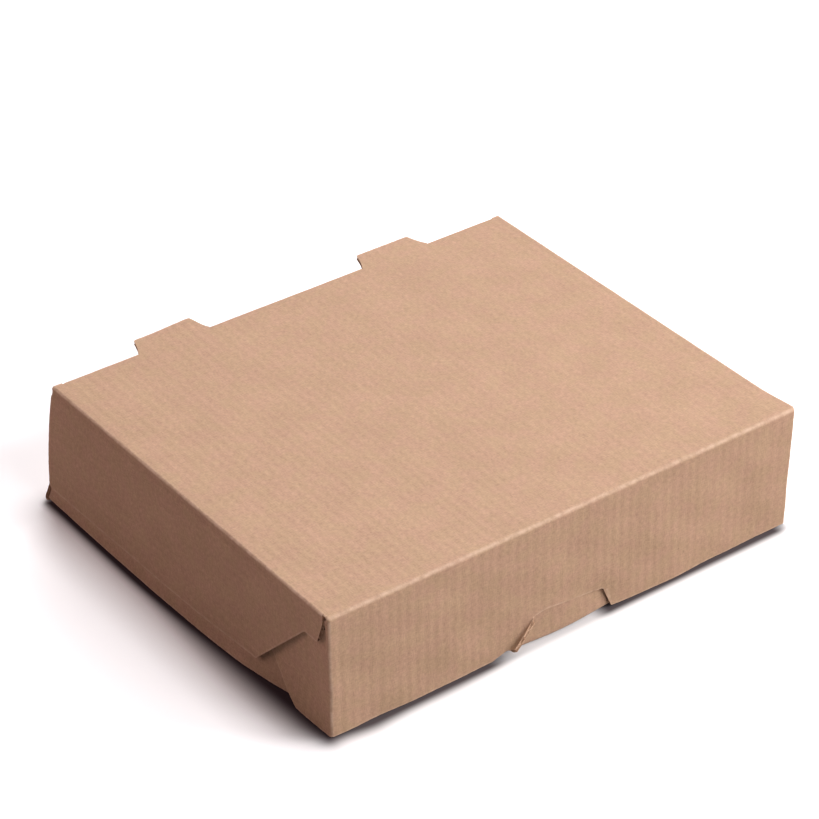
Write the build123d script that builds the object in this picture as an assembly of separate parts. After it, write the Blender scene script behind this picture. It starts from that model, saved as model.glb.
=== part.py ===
from build123d import *
import math
import os

# Flat take-away box for pastries, folded from one sheet of thin corrugated board.
# A low tray has a lid hinged along its back top edge. The lid's front flap and its two
# side flaps hang outside the tray. The front flap has an ear at each end, folded round the
# front corner, between the tray's side wall and the side flap.
# Frame: origin at the middle of the base's underside, +X to the right, +Y to the back, +Z up.

# Outside of the closed box
box_width = 180.0
box_depth = 152.0
box_height = 44.5

# Board and folds
board = 1.5
fold_radius = 1.5
layer_gap = 0.3
hinge_slit = 0.14
floor_gap = 0.3

# Flutes of the board, open at the cut edges that cross them
flute_pitch = 3.39
liner = 0.22
medium = 0.18
flute_sight = 3.0

# Hinge tabs, cut out of the back wall and left in the plane of the lid
tab_root_width = 27.2
tab_tip_width = 21.4
tab_reach = 7.6
tab_side_hollow = 0.7
tab_spacing = 89.4
tab_corner_radius = 0.8
notch_side_gap = 0.35
notch_bottom_gap = 0.5

# Thumb notch in the lower edge of the front flap
thumb_top_width = 28.0
thumb_bottom_width = 34.0
thumb_height = 9.2
thumb_corner_radius = 0.9

# Corner beside the thumb notch that has curled outwards
curl_foot = 5.4
curl_angle = 32.0

# Ears of the front flap: lengths run back from the front face, heights up from the lower edge
front_ear_length = 34.0
front_ear_foot = 17.5
front_ear_shoulder = 14.0
front_ear_top_cut = 6.0
front_ear_top_drop = 5.2
corner_setback = 0.3
ear_step_run = 0.9
least_corner_flat = 0.05

# Side flaps: distances run back from the front face, depths down from the top
flap_end_setback = 2.7
flap_end_slant = 3.2
flap_strip_depth = 11.9
flap_strip_length = 12.4
flap_depth = 37.4
flap_slope_run = 25.0
flap_corner_radius = 1.2

# Ears of the tray's side walls, folded in behind the front wall and before the back wall
tray_ear_length = 24.0
tray_ear_taper = 5.0
tray_ear_lift = 1.2

# Places worked out from the sizes above
layer = board + layer_gap
hinge_inset = fold_radius * (1 - math.sqrt(0.5))
tray_half_width = box_width / 2 - 2 * layer
front_ear_face = box_width / 2 - layer
front_flap_half_width = box_width / 2 - corner_setback
front_face = -box_depth / 2
back_face = box_depth / 2
tray_front = front_face + layer
wall_top = box_height - layer
margin = 5.0


def block(x_range, y_range, z_range):
    """Box between two limits along each axis."""
    sizes = [high - low for low, high in (x_range, y_range, z_range)]
    centres = [(high + low) / 2 for low, high in (x_range, y_range, z_range)]
    return Pos(*centres) * Box(*sizes)


def side_profile(points, x_range, rounded=(), radius=0.0):
    """Prism along X from points given as (y, z), with some of its corners rounded."""
    face = Pos(x_range[0], 0, 0) * make_face(Plane.YZ * Polyline(*points, close=True))
    solid = extrude(face, amount=x_range[1] - x_range[0], dir=(1, 0, 0))
    return round_corners(solid, Axis.X, rounded, radius, (1, 2))


def front_profile(points, y_range, rounded=(), radius=0.0):
    """Prism along Y from points given as (x, z), with some of its corners rounded."""
    face = Pos(0, y_range[0], 0) * make_face(Plane.XZ * Polyline(*points, close=True))
    solid = extrude(face, amount=y_range[1] - y_range[0], dir=(0, 1, 0))
    return round_corners(solid, Axis.Y, rounded, radius, (0, 2))


def top_profile(points, z_range, rounded=(), radius=0.0):
    """Prism along Z from points given as (x, y), with some of its corners rounded."""
    face = Pos(0, 0, z_range[0]) * make_face(Polyline(*points, close=True))
    solid = extrude(face, amount=z_range[1] - z_range[0], dir=(0, 0, 1))
    return round_corners(solid, Axis.Z, rounded, radius, (0, 1))


def round_corners(solid, axis, corners, radius, axes):
    """Fillet the edges of a prism along axis that stand over the given corners."""
    if not corners or radius <= 0:
        return solid
    edges = []
    for edge in solid.edges().filter_by(axis):
        centre = tuple(edge.center())
        place = (centre[axes[0]], centre[axes[1]])
        if any(math.dist(place, corner) < 0.01 for corner in corners):
            edges.append(edge)
    return fillet(edges, radius)


def closed_outline():
    """Outer form of the closed box, with the four top folds rounded."""
    body = block((-box_width / 2, box_width / 2), (front_face, back_face), (0, box_height))
    return fillet(body.faces().sort_by(Axis.Z)[-1].edges(), fold_radius)


def fold_wedge(half_span, turn):
    """What lies on the lid's side of a top fold: the fold is slit on its 45 degree bisector.

    The wedge is drawn for the front fold and turned about Z for the others.
    """
    reach = box_width / 2 if turn in (-90, 90) else box_depth / 2
    outer = (-reach - margin, box_height + margin - hinge_slit)
    inner = (-reach + margin, box_height - margin - hinge_slit)
    over = (-reach + margin, box_height + margin)
    wedge = side_profile([outer, inner, over], (-half_span, half_span))
    return Rot(0, 0, turn) * wedge


def tab_outline(centre, grow, depth):
    """Points (across, out) of one tab: a trapezoid with slightly hollow sides."""
    root = tab_root_width / 2 + grow
    tip = tab_tip_width / 2 + grow
    waist = (root + tip) / 2 - tab_side_hollow
    return [
        (centre - root, 0.0),
        (centre - waist, depth / 2),
        (centre - tip, depth),
        (centre + tip, depth),
        (centre + waist, depth / 2),
        (centre + root, 0.0),
    ]


def flute_hollows(plane, across, reach):
    """Triangular prisms that open the flutes where a cut edge crosses them.

    On the plane, X runs across the flutes, Y from the outer liner inwards, and Z along the
    flutes. The prisms stand base to tip by turns, as the medium zigzags between the liners.
    across is the stretch of the edge, and reach gives where the hollow at a place on it
    starts and ends along the flutes.
    """
    rise = board - 2 * liner - medium
    half_base = flute_pitch / 2 - medium * math.hypot(1, flute_pitch / 2 / rise) / 2
    prisms = []
    first = math.ceil((across[0] + half_base) / flute_pitch * 2)
    last = math.floor((across[1] - half_base) / flute_pitch * 2)
    for number in range(first, last + 1):
        place = number * flute_pitch / 2
        base, tip = (liner, liner + rise) if number % 2 else (board - liner, board - liner - rise)
        triangle = make_face(
            Polyline((place - half_base, base), (place + half_base, base), (place, tip), close=True)
        )
        start, end = reach(place)
        prisms.append(plane * extrude(Pos(0, 0, start) * triangle, amount=end - start, dir=(0, 0, 1)))
    return prisms


def make_tray():
    """Base, four walls and the side walls' ears, folded up as one sheet."""
    whole = (-tray_half_width, tray_half_width)
    base = block(whole, (tray_front, back_face), (0, board))
    front = block(whole, (tray_front, tray_front + board), (0, wall_top))
    back = block(whole, (back_face - board, back_face), (0, box_height))

    # Both side walls and their ears are a ring whose front and back runs are cut to ears
    ring_y = (tray_front + layer, back_face - layer)
    ring = block(whole, ring_y, (0, wall_top))
    ring = fillet(ring.edges().filter_by(Axis.Z), fold_radius)
    inner_x = (-tray_half_width + board, tray_half_width - board)
    ring -= block(inner_x, (ring_y[0] + board, ring_y[1] - board), (0, wall_top))
    ring -= block(inner_x, ring_y, (0, board + tray_ear_lift))
    ear_root = tray_half_width - tray_ear_length + tray_ear_taper
    ear_tip = tray_half_width - tray_ear_length
    ring -= front_profile(
        [
            (-ear_tip, board),
            (ear_tip, board),
            (ear_tip, wall_top * 0.5),
            (ear_root, wall_top),
            (-ear_root, wall_top),
            (-ear_tip, wall_top * 0.5),
        ],
        ring_y,
    )

    tray = base + front + back + ring
    outline = block(whole, (tray_front, back_face), (0, box_height))
    outline = fillet(outline.faces().sort_by(Axis.Z)[0].edges(), fold_radius)
    tray &= outline
    tray &= closed_outline()
    tray -= fold_wedge(tray_half_width + margin, 180)

    # The tabs left these notches in the back wall's upper edge. As the lid opens they swing down
    # into them about a line just inside the fold, which sets the notches that much lower.
    notch_root = box_height - 2 * hinge_inset
    for side in (-1, 1):
        points = tab_outline(side * tab_spacing / 2, notch_side_gap, tab_reach + notch_bottom_gap)
        points = [(across, notch_root - out) for across, out in points]
        left, right = points[0][0], points[-1][0]
        points[0] = (left, box_height - layer)
        points[-1] = (right, box_height - layer)
        points = [(left, box_height + margin)] + points + [(right, box_height + margin)]
        tray -= front_profile(points, (back_face - 2 * board, back_face + board))

    # The front wall's flutes stand upright, so they are open along its upper edge
    upper_edge = (-tray_half_width, tray_half_width)
    top_reach = (wall_top - flute_sight, wall_top + margin)
    tray -= flute_hollows(Plane((0, tray_front, 0)), upper_edge, lambda place: top_reach)
    return tray


def make_lid():
    """Top panel with half of each fold, and the two hinge tabs."""
    low = box_height - board
    narrow = Rectangle(box_width - 2 * board, box_depth - 2 * board)
    wide = Rectangle(box_width, box_depth)
    panel = loft([Pos(0, 0, low) * narrow, Pos(0, 0, box_height) * wide])
    lid = panel & closed_outline()
    for side in (-1, 1):
        points = tab_outline(side * tab_spacing / 2, 0.0, tab_reach)
        points = [(across, back_face + out) for across, out in points]
        tips = points[2:4]
        points = [(points[0][0], back_face - 2 * board)] + points
        points.append((points[-1][0], back_face - 2 * board))
        lid += top_profile(points, (low, box_height), tips, tab_corner_radius)

        # The lid's flutes run from front to back, so they are open at the tabs' tips
        tip = (side * tab_spacing / 2 - tab_tip_width / 2, side * tab_spacing / 2 + tab_tip_width / 2)
        tip_reach = (back_face + tab_reach - flute_sight, back_face + tab_reach + margin)
        outer_face = Plane((0, 0, box_height), x_dir=(1, 0, 0), z_dir=(0, 1, 0))
        lid -= flute_hollows(outer_face, tip, lambda place: tip_reach)
    return lid


def make_front_flap():
    """Front flap with its thumb notch, curled corner and two ears."""
    low = floor_gap
    x_range = (-front_flap_half_width, front_flap_half_width)
    ear_end = front_face + front_ear_length

    # Plan of the flap and its ears, which step in behind the side flaps' front ends
    ear_start = front_face + flap_end_setback - layer_gap / 2
    half_plan = [
        (front_flap_half_width, front_face),
        (front_flap_half_width, ear_start - ear_step_run),
        (front_ear_face, ear_start),
        (front_ear_face, ear_end + margin),
    ]
    plan = make_face(Polyline(*half_plan, *[(-x, y) for x, y in reversed(half_plan)], close=True))
    inner_plan = offset(plan, amount=-board, kind=Kind.INTERSECTION)
    sheet = extrude(plan, amount=box_height, dir=(0, 0, 1))
    corner_run = ear_start - ear_step_run - front_face
    corner_radius = min(fold_radius, corner_run - least_corner_flat)
    sheet = fillet(sheet.edges().filter_by(Axis.Z).group_by(Axis.Y)[0], corner_radius)
    sheet -= extrude(inner_plan, amount=box_height, dir=(0, 0, 1))

    # Side view of the flap's edge and of both ears behind it
    ear_top = wall_top - front_ear_top_drop
    foot = (front_face + front_ear_foot, low)
    shoulder = (ear_end, low + front_ear_shoulder)
    top_corner = (ear_end - front_ear_top_cut, ear_top)
    side_view = side_profile(
        [
            (front_face, low),
            foot,
            shoulder,
            (ear_end, ear_top - front_ear_top_cut),
            top_corner,
            (front_face + fold_radius, ear_top),
            (front_face + fold_radius, box_height),
            (front_face, box_height),
        ],
        x_range,
        [foot, shoulder],
        front_ear_shoulder / 2,
    )
    flap = sheet & side_view & closed_outline()
    flap -= fold_wedge(front_flap_half_width + margin, 0)

    top_corners = [(-thumb_top_width / 2, thumb_height), (thumb_top_width / 2, thumb_height)]
    slope = (thumb_bottom_width - thumb_top_width) / 2 / thumb_height
    below = thumb_bottom_width / 2 + slope * margin
    flap -= front_profile(
        [(-below, -margin), top_corners[0], top_corners[1], (below, -margin)],
        (front_face - margin, front_face + board + layer_gap / 2),
        top_corners,
        thumb_corner_radius,
    )
    flap -= front_flutes(low)
    return curl_corner(flap, low)


def front_flutes(low):
    """Open flutes along the lower edges of the front flap, its thumb notch and its ears."""
    def front_reach(place):
        edge = thumb_height if abs(place) < thumb_bottom_width / 2 else low
        return (low - margin, edge + flute_sight)

    def ear_reach(place):
        past_foot = max(0.0, -place - front_face - front_ear_foot)
        edge = low + front_ear_shoulder * past_foot / (front_ear_length - front_ear_foot)
        return (low - margin, edge + flute_sight)

    flat = front_flap_half_width - fold_radius
    hollows = flute_hollows(Plane((0, front_face, 0)), (-flat, flat), front_reach)
    ear_run = (-front_face - front_ear_length, -front_face - flap_end_setback)
    ear = Plane((-front_ear_face, 0, 0), x_dir=(0, -1, 0), z_dir=(0, 0, 1))
    for prism in flute_hollows(ear, ear_run, ear_reach):
        hollows += [prism, mirror(prism, about=Plane.YZ)]
    return hollows


def curl_corner(flap, low):
    """Fold the pointed corner left of the thumb notch outwards about a slanted crease."""
    crease_top = Vector(-thumb_top_width / 2 - fold_radius / 2, front_face + board, thumb_height)
    crease_foot = Vector(-thumb_bottom_width / 2 - curl_foot, front_face + board, low)
    beyond = crease_foot + (crease_foot - crease_top)
    corner = front_profile(
        [
            (crease_top.X, crease_top.Z),
            (beyond.X, beyond.Z),
            (0.0, beyond.Z),
            (0.0, crease_top.Z),
        ],
        (front_face, front_face + board),
    )
    left_half = block((-thumb_bottom_width, 0.0), (front_face, front_face + board), (low, thumb_height))
    piece = flap & left_half & corner
    crease = Axis(crease_top, crease_foot - crease_top)
    return (flap - piece) + piece.rotate(crease, curl_angle)


def make_side_flap():
    """Left side flap: a full-depth panel, cut on the slope to a shallow strip at the front."""
    strip_low = box_height - flap_strip_depth
    panel_low = box_height - flap_depth
    end_top = (front_face + flap_end_setback, box_height)
    back_corner = (back_face, panel_low)
    slope_foot = (front_face + flap_strip_length + flap_slope_run, panel_low)
    outline = side_profile(
        [
            end_top,
            (front_face + flap_end_setback + flap_end_slant, strip_low),
            (front_face + flap_strip_length, strip_low),
            slope_foot,
            back_corner,
            (back_face, box_height),
        ],
        (-box_width / 2, -box_width / 2 + board),
        [back_corner],
        flap_corner_radius,
    )
    flap = outline & closed_outline()
    flap -= fold_wedge(box_depth / 2 + margin, -90)

    # The flutes lie along the flap, so they are open at its back end and up the cut front end
    def front_reach(place):
        if place > strip_low:
            edge = front_face + flap_end_setback + flap_end_slant
        else:
            share = (strip_low - place) / (strip_low - panel_low)
            edge = front_face + flap_strip_length + flap_slope_run * share
        return (front_face - margin, edge + flute_sight)

    outer_face = Plane((-box_width / 2, 0, 0), x_dir=(0, 0, 1), z_dir=(0, 1, 0))
    height = (panel_low + layer_gap, box_height - fold_radius)
    back_reach = (back_face - flute_sight, back_face + margin)
    flap -= flute_hollows(outer_face, height, front_reach)
    return flap - flute_hollows(outer_face, height, lambda place: back_reach)


left_side_flap = make_side_flap()
nodes = {
    "tray": make_tray(),
    "lid": make_lid(),
    "front_flap": make_front_flap(),
    "left_side_flap": left_side_flap,
    "right_side_flap": mirror(left_side_flap, about=Plane.YZ),
}

os.makedirs("parts", exist_ok=True)
for name, shape in nodes.items():
    export_step(shape, f"parts/{name}.step")
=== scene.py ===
"""Looks of a flat take-away box folded from one sheet of thin kraft corrugated board."""

import logging
import math
from dataclasses import dataclass
from enum import Enum

import bpy
import numpy as np
from mathutils import Matrix, Vector


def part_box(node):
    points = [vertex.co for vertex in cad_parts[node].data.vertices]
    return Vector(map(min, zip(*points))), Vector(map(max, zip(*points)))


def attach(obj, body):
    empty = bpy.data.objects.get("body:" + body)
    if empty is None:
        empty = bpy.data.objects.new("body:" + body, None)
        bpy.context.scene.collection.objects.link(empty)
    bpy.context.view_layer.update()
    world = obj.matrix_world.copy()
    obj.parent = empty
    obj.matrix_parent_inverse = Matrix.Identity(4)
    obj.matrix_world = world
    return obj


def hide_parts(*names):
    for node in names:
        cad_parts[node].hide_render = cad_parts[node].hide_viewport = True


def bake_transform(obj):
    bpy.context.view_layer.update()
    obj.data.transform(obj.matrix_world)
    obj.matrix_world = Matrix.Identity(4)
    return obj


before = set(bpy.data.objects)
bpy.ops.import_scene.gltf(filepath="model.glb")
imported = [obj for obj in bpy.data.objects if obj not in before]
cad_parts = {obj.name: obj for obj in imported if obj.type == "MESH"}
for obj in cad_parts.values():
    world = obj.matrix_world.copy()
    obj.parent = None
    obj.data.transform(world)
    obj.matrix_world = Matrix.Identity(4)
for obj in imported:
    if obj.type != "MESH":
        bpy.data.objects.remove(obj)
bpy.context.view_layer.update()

MM = 0.001
FAR = 1.0
Array = np.ndarray
Piece = bpy.types.Object
Socket = bpy.types.NodeSocket
Triple = tuple[float, float, float]
Ramp = tuple[float, float, float, float]
log = logging.getLogger("box")


def smooth(t: Array) -> Array:
    """Ease from 0 to 1: three times t squared less twice t cubed, t held between 0 and 1."""
    t = np.clip(t, 0.0, 1.0)
    return t * t * (3.0 - 2.0 * t)


def rise(value: Array, start: float, reach: float) -> Array:
    """Ease from 0 at the start to 1 at the reach beyond it."""
    return smooth((value - start) / reach)


def bell(value: Array, centre: float, width: float) -> Array:
    """Bell curve: e to the minus square of the distance from the centre over the width."""
    return np.exp(-(((value - centre) / width) ** 2))


def unit(v: Array) -> Array:
    """Each vector over its own length."""
    return v / np.maximum(np.linalg.norm(v, axis=-1, keepdims=True), 1e-12)


def steps(stops: list[float], pitches: list[float]) -> Array:
    """Ascending places between stops, at most the given pitch apart in each stretch.

    Args:
        stops: Ends of the stretches, ascending.
        pitches: Widest step in each stretch.

    Returns:
        The places, each stop among them.
    """
    runs = [
        np.linspace(a, b, max(2, int(math.ceil((b - a) / p)) + 1))[:-1]
        for a, b, p in zip(stops[:-1], stops[1:], pitches)
    ]
    return np.concatenate(runs + [np.array([stops[-1]])])


def mirrored(stops: list[float], pitch: float) -> Array:
    """Ascending places on both sides of 0, from stops that begin at 0 and one pitch."""
    right = steps(stops, [pitch] * (len(stops) - 1))
    return np.concatenate([-right[:0:-1], right])


def ripple(a: Array, b: Array, size: float, turn: float = 0.0) -> Array:
    """Slow uneven swell: the mean of four sine waves of unlike length and direction.

    Args:
        a: First coordinate.
        b: Second coordinate.
        size: Longest wavelength.
        turn: Phase that tells one swell from another.

    Returns:
        Values between -1 and 1.
    """
    k = 2.0 * math.pi / size
    waves = (
        np.sin(k * (a + 0.31 * b) + turn)
        + np.sin(k * (1.73 * b - 0.42 * a) + 2.1 * turn + 1.3)
        + np.sin(k * (2.37 * a + 0.88 * b) + 3.7 * turn + 0.4)
        + np.sin(k * (3.19 * b + 1.57 * a) + 5.3 * turn + 2.2)
    )
    return waves / 4.0


class Face(Enum):
    """The three finishes of a card: its outer liner, its inner liner and its cut edge."""

    OUTSIDE = 0
    INSIDE = 1
    CUT = 2


@dataclass(frozen=True)
class BoxPlan:
    """Main sizes of the closed box, in metres: read from the frame's solids, then chosen ones.

    The half width, front, back, corner, tray half and tray front are outer faces: of the side
    flaps, the front flap, the back wall, the front flap's ears, and the tray's side and front
    walls. The folds and the corner radius are outer radii. The back spread is the way outwards
    of the left top fold at its back, and the right swell that of the right front corner.
    """

    half_width: float
    front: float
    back: float
    height: float
    tab_end: float
    tray_half: float
    tray_front: float
    wall_top: float
    flap_front: float
    flap_low: float
    ear_end: float
    fold: float = 1.5 * MM
    side_fold: float = 0.9 * MM
    hinge_fold: float = 0.8 * MM
    corner: float = 89.7 * MM
    corner_radius: float = 1.1 * MM
    back_spread: float = 1.0 * MM
    right_swell: float = 1.2 * MM

    @classmethod
    def from_frame(cls) -> "BoxPlan":
        """Read the corners of four of the five solids; the depth is as much before as behind the middle."""
        _, lid_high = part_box("lid")
        tray_low, tray_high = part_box("tray")
        side_low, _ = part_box("left_side_flap")
        _, front_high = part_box("front_flap")
        return cls(
            half_width=-side_low.x,
            front=-tray_high.y,
            back=tray_high.y,
            height=lid_high.z,
            tab_end=lid_high.y,
            tray_half=tray_high.x,
            tray_front=tray_low.y,
            wall_top=lid_high.z - (tray_low.y + tray_high.y),
            flap_front=side_low.y,
            flap_low=side_low.z,
            ear_end=front_high.y,
        )

    @property
    def fold_top(self) -> float:
        """Height at which the front flap's flat part ends and its top fold begins."""
        return self.height - self.fold

    def corner_drop(self, x: Array) -> Array:
        """Fall of the lid's front corners: a quarter round that starts one side fold inwards."""
        past = np.clip(np.abs(x) - self.half_width + self.side_fold, 0.0, 0.999 * self.side_fold)
        return self.side_fold - np.sqrt(self.side_fold**2 - past**2)

    def corner_retreat(self, x: Array) -> Array:
        """Way backwards of the front's upright corners: a quarter round of the corner radius."""
        past = np.clip(np.abs(x) - self.corner + self.corner_radius, 0.0, self.corner_radius)
        return self.corner_radius - np.sqrt(self.corner_radius**2 - past**2)

    def top_spread(self, x: Array, y: Array) -> Array:
        """Way outwards of the left top fold: the square of the share of the depth, at its back."""
        share = np.clip((y - self.front) / (self.back - self.front), 0.0, 1.0)
        return self.back_spread * share**2 * np.clip(-x / self.half_width, 0.0, 1.0) ** 4

    def corner_swell(self, points: Array) -> Array:
        """Way outwards of the right front corner, which is most at its top."""
        x, y, z = points[..., 0], points[..., 1], points[..., 2]
        beside = rise(x, 76.0 * MM, 13.0 * MM) * (1.0 - rise(y, self.front, 16.0 * MM))
        return self.right_swell * beside * np.clip(z / self.height, 0.0, 1.0)

    def settle(self, points: Array) -> Array:
        """Carry an outer panel's points with the left top fold and the right front corner."""
        moved = points.copy()
        moved[..., 0] += self.corner_swell(points) - self.top_spread(points[..., 0], points[..., 1])
        return moved


@dataclass
class Sheet:
    """One panel's outer face on a grid, before it gets its thickness.

    Attributes:
        outer: Places of the outer face, rows by columns by 3.
        flat: The same points on the flat blank, rows by columns by 2: the first number runs
            across the flutes and the second along them.
        raw: 1 on the rim's points that are a cut edge, and 0 where a fold carries on.
        cut_gap: Distance from each point to the nearest cut edge.
        fold_gap: Distance from each point to the nearest crease.
    """

    outer: Array
    flat: Array
    raw: Array
    cut_gap: Array
    fold_gap: Array


@dataclass(frozen=True)
class Board:
    """Thin single-wall corrugated board: two liners with a fluted medium between them.

    The liner, the medium and the two blurs are shares of the thickness. The cells are the
    hollows in a cut edge, the ridge is the washboard that the flutes make, and the press is
    the distance from a crease over which it dies out.
    """

    thickness: float = 1.42 * MM
    pitch: float = 3.39 * MM
    liner: float = 0.16
    medium: float = 0.075
    cell_depth: float = 1.5 * MM
    ridge: float = 0.02 * MM
    press: float = 2.5 * MM
    blur: float = 0.08
    liner_blur: float = 0.06
    sharp: float = math.radians(38.0)

    def cells(self, across: Array, share: Array) -> Array:
        """How open the board's cut edge is: 1 in a flute's hollow and 0 on paper.

        The medium is a sine wave between the liners, and a point is hollow where it is
        further from that wave, and from both liners, than the paper is thick.

        Args:
            across: Place across the flutes.
            share: Depth into the board, from 0 at the outer liner to 1 at the inner one.

        Returns:
            Openness between 0 and 1.
        """
        swing = 0.5 - self.liner
        wave = 0.5 + swing * np.sin(2.0 * math.pi * across / self.pitch)
        from_wave = (np.abs(share - wave) - self.medium) / self.blur
        from_liner = (np.minimum(share, 1.0 - share) - self.liner) / self.liner_blur + 0.5
        return smooth(from_wave) * smooth(from_liner)

    def make(self, name: str, sheet: Sheet, inside: Triple) -> Piece:
        """Give a sheet its thickness and close it into one shell.

        The outer face is raised by the washboard: a ridge over each flute, a sine across the
        blank, which dies out towards a crease. The inner face is the outer one moved inwards
        along its normal. Rings of points join the two round the rim, and on a cut edge they
        sink into the hollows of the flutes.

        Args:
            name: Name of the piece.
            sheet: The panel's outer face.
            inside: A point on the inner side of the panel.

        Returns:
            The piece, at the origin, with its place in its mesh.
        """
        phase = 2.0 * math.pi * sheet.flat[..., 0] / self.pitch
        swell = self.ridge * smooth(np.minimum(sheet.fold_gap, sheet.cut_gap + self.press) / self.press)
        normal = unit(np.cross(np.gradient(sheet.outer, axis=1), np.gradient(sheet.outer, axis=0)))
        sign = float(np.sign(np.sum(normal * (sheet.outer - np.array(inside)))))
        normal = normal * sign
        outer = sheet.outer + normal * (swell * np.sin(phase))[..., None]
        inner = sheet.outer - normal * (self.thickness + swell * np.sin(phase))[..., None]

        shares = np.array([0.1, 0.17, 0.26, 0.38, 0.5, 0.62, 0.74, 0.83, 0.9])
        loop, body, rim = self._net(*sheet.raw.shape, len(shares), sign)
        edge_out, edge_in = outer.reshape(-1, 3)[loop], inner.reshape(-1, 3)[loop]
        tangent = np.roll(edge_out, -1, 0) - np.roll(edge_out, 1, 0)
        inward = unit(np.cross(normal.reshape(-1, 3)[loop], tangent)) * sign
        flat = sheet.flat.reshape(-1, 2)
        hollow = self.cells(flat[loop, 0][None], shares[:, None]) * sheet.raw.reshape(-1)[loop][None]
        sunk = inward[None] * (hollow * self.cell_depth)[..., None]
        rings = edge_out[None] + (edge_in - edge_out)[None] * shares[:, None, None] + sunk

        points = np.concatenate([outer.reshape(-1, 3), inner.reshape(-1, 3), rings.reshape(-1, 3)])
        flats = np.concatenate([flat, flat, np.tile(flat[loop], (len(shares), 1))])
        # How far a point sits in a hollow, kept for the cut edge's painted shade.
        values = {"hollow_shade_mask": np.concatenate([np.zeros(2 * len(flat)), hollow.reshape(-1)])}
        for label in ("cut_gap", "fold_gap"):
            gap = getattr(sheet, label).reshape(-1)
            values[label] = np.concatenate([gap, gap, np.tile(gap[loop], len(shares))])
        half = len(body) // 2
        finish = np.repeat([face.value for face in Face], [half, half, len(rim)])
        return self._mesh(name, points, np.concatenate([body, rim]), flats, values, finish)

    @staticmethod
    def _net(rows: int, columns: int, rings: int, sign: float) -> tuple[Array, Array, Array]:
        """Rim points of a grid, and the four-sided faces of both liners and of the rim.

        Args:
            rows: Rows of the grid.
            columns: Columns of the grid.
            rings: Rings of points between the outer and the inner rim.
            sign: 1 where rows and columns turn the right way round, else -1.

        Returns:
            Numbers of the rim points in order round the grid, faces of the two liners, and
            faces of the rim, all facing outwards.
        """
        count = rows * columns
        index = np.arange(count).reshape(rows, columns)
        loop = np.concatenate([index[0, :-1], index[:-1, -1], index[-1, :0:-1], index[:0:-1, 0]])
        corners = [index[:-1, :-1], index[:-1, 1:], index[1:, 1:], index[1:, :-1]]
        face = np.stack(corners, axis=-1).reshape(-1, 4)
        body = np.concatenate([face, face[:, ::-1] + count])
        inner_rings = 2 * count + np.arange(rings * len(loop)).reshape(rings, len(loop))
        ladder = np.concatenate([loop[None], inner_rings, (loop + count)[None]])
        ahead = np.roll(ladder, -1, axis=1)
        rim = np.stack([ahead[:-1], ladder[:-1], ladder[1:], ahead[1:]], axis=-1).reshape(-1, 4)
        if sign < 0:
            body, rim = body[:, ::-1], rim[:, ::-1]
        return loop, body, rim

    def _mesh(
        self, name: str, points: Array, faces: Array, flats: Array, values: dict[str, Array], finish: Array
    ) -> Piece:
        """Put the worked-out arrays into a new mesh object.

        Args:
            name: Name of the piece.
            points: Places of all points.
            faces: Point numbers of each face.
            flats: Place of each point on the flat blank.
            values: Named values of the points: how far each sits in a flute's hollow, and its
                distance to a cut edge and to a crease.
            finish: Finish number of each face.

        Returns:
            The object, linked to the scene.
        """
        mesh = bpy.data.meshes.new(name)
        mesh.vertices.add(len(points))
        mesh.vertices.foreach_set("co", points.astype(np.float32).ravel())
        mesh.loops.add(faces.size)
        mesh.loops.foreach_set("vertex_index", faces.astype(np.int32).ravel())
        mesh.polygons.add(len(faces))
        mesh.polygons.foreach_set("loop_start", np.arange(0, faces.size, 4, dtype=np.int32))
        mesh.polygons.foreach_set("material_index", finish.astype(np.int32))
        mesh.update(calc_edges=True)
        layer = mesh.uv_layers.new(name="blank")
        layer.data.foreach_set("uv", flats[faces.ravel()].astype(np.float32).ravel())
        for label, numbers in values.items():
            attribute = mesh.attributes.new(label, "FLOAT", "POINT")
            attribute.data.foreach_set("value", numbers.astype(np.float32))
        mesh.shade_smooth()
        mesh.set_sharp_from_angle(angle=self.sharp)
        mesh.validate()
        piece = bpy.data.objects.new(name, mesh)
        bpy.context.scene.collection.objects.link(piece)
        return piece


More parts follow.
